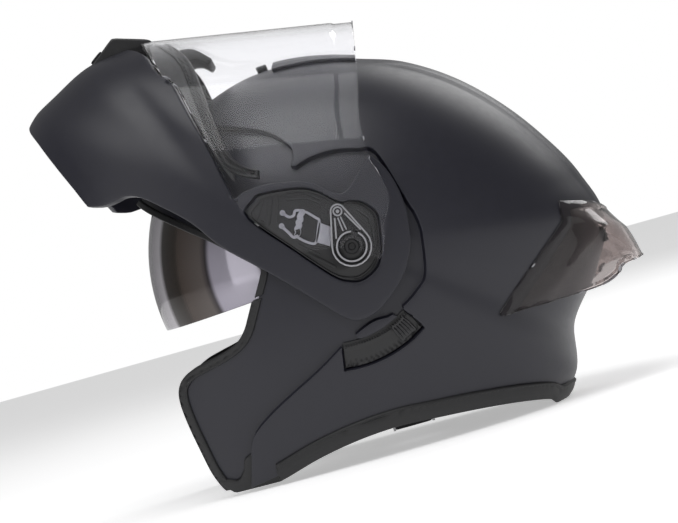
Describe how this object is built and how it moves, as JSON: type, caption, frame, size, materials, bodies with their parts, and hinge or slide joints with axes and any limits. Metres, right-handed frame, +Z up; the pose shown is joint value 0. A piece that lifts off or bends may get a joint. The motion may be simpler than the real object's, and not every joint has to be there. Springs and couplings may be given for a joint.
{
  "type": "flip-up motorcycle helmet",
  "caption": "Flip-up motorcycle helmet with raised chin bar, clear visor, drop-down smoke sun shield, vents, rear spoiler and buckled chin strap.",
  "frame": {"origin": "on the surface that the helmet stands on, under the middle of its overall box", "axes": "+Z up, +X the wearer's left, -Y the front (the face opening)"},
  "size_m": [0.2532, 0.3508, 0.297],
  "materials": {
    "shell_paint": "satin black lacquer",
    "impact_foam": "expanded polystyrene",
    "lining_cloth": "brushed knit over foam",
    "black_rubber": "matt rubber",
    "black_plastic": "moulded",
    "steel": "stamped",
    "grey_plastic": "moulded acetal",
    "strap_webbing": "woven polyester",
    "clear_polycarbonate": "clear, hard coated",
    "mirrored_smoke": "smoke with a thin mirror coat",
    "smoke_polycarbonate": "tinted, clear gloss"
  },
  "bodies": {
    "shell": {"outer_shell": "shell_paint", "impact_liner": "impact_foam", "crown_pad": "lining_cloth", "cheek_foam_left": "impact_foam", "cheek_foam_right": "impact_foam", "cheek_pad_left": "lining_cloth", "cheek_pad_right": "lining_cloth", "neck_roll": "lining_cloth", "base_trim": "black_rubber", "face_lip_left": "black_rubber", "face_lip_right": "black_rubber", "brow_trim": "black_rubber", "corner_foot_left": "black_rubber", "corner_foot_right": "black_rubber", "latch_stud_upper_left": "steel", "latch_stud_upper_right": "steel", "latch_stud_lower_left": "black_rubber", "latch_stud_lower_right": "black_rubber", "top_vent": "shell_paint", "rear_spoiler": "smoke_polycarbonate", "rear_vent": "black_plastic", "hinge_bolt_left": "steel", "hinge_bolt_right": "steel", "sun_shield_pin_left": "steel", "sun_shield_pin_right": "steel", "sun_slider_track": "black_plastic", "chin_strap_left": "strap_webbing", "chin_strap_right": "strap_webbing", "strap_anchor_left": "steel", "strap_anchor_right": "steel", "strap_buckle": "steel"},
    "top_vent_slider": {"top_vent_slider": "black_plastic"},
    "sun_shield": {"sun_shield": "mirrored_smoke"},
    "sun_shield_slider": {"sun_shield_slider": "black_rubber"},
    "buckle_lever": {"buckle_lever": "steel"},
    "chin_bar": {"chin_bar": "shell_paint", "chin_liner": "impact_foam", "visor_base_plate_left": "black_plastic", "visor_base_plate_right": "black_plastic", "visor_gasket": "black_rubber", "breath_deflector": "black_rubber", "chin_vent": "black_plastic"},
    "chin_vent_slider": {"chin_vent_slider": "black_rubber"},
    "chin_release_button": {"chin_release_button": "black_plastic"},
    "latch_hooks": {"latch_hook_left": "steel", "latch_hook_right": "steel"},
    "visor": {"visor": "clear_polycarbonate"},
    "visor_quick_release_left": {"visor_quick_release_left": "grey_plastic"},
    "visor_quick_release_right": {"visor_quick_release_right": "grey_plastic"}
  },
  "joints": [
    {"name": "chin_bar_flip", "type": "hinge", "parent": "shell", "child": "chin_bar", "pos_m": [0, 0.00091, 0.128], "axis": [1, 0, 0], "range_deg": [0, 73]},
    {"name": "visor_tilt", "type": "hinge", "parent": "chin_bar", "child": "visor", "pos_m": [0, 0.00091, 0.128], "axis": [1, 0, 0], "range_deg": [-45, 0]},
    {"name": "sun_shield_drop", "type": "hinge", "parent": "shell", "child": "sun_shield", "pos_m": [0, -0.01209, 0.13], "axis": [1, 0, 0], "range_deg": [-42, 0]},
    {"name": "sun_shield_slide", "type": "hinge", "parent": "shell", "child": "sun_shield_slider", "pos_m": [0, -0.01209, 0.13], "axis": [1, 0, 0], "range_deg": [-30.2, 0]},
    {"name": "top_vent_slide", "type": "slide", "parent": "shell", "child": "top_vent_slider", "axis": [0, 0.9962, 0.0872], "range_m": [0, 0.007]},
    {"name": "chin_vent_slide", "type": "slide", "parent": "chin_bar", "child": "chin_vent_slider", "axis": [0, 0.8358, 0.549], "range_m": [-0.0027, 0.0027]},
    {"name": "chin_release_press", "type": "slide", "parent": "chin_bar", "child": "chin_release_button", "axis": [0, 0.9092, 0.4163], "range_m": [0, 0.004], "stiffness_N_per_m": 900, "springref_m": -0.001},
    {"name": "latch_hook_pull", "type": "slide", "parent": "chin_bar", "child": "latch_hooks", "axis": [0, 0.9903, 0.1392], "range_m": [0, 0.0031]},
    {"name": "visor_release_pull_left", "type": "slide", "parent": "chin_bar", "child": "visor_quick_release_left", "axis": [0, 0.7771, -0.6293], "range_m": [-0.003, 0], "stiffness_N_per_m": 500, "springref_m": 0.001},
    {"name": "visor_release_pull_right", "type": "slide", "parent": "chin_bar", "child": "visor_quick_release_right", "axis": [0, 0.7771, -0.6293], "range_m": [-0.003, 0], "stiffness_N_per_m": 500, "springref_m": 0.001},
    {"name": "buckle_lever_lift", "type": "hinge", "parent": "shell", "child": "buckle_lever", "pos_m": [0.0145, 0.00891, 0.0184], "axis": [0, 1, 0], "range_deg": [-70, 0]}
  ],
  "couplings": [
    {"joint": "sun_shield_slide", "follows": "sun_shield_drop", "ratio": 0.7143},
    {"joint": "latch_hook_pull", "follows": "chin_release_press", "ratio": 0.75}
  ]
}
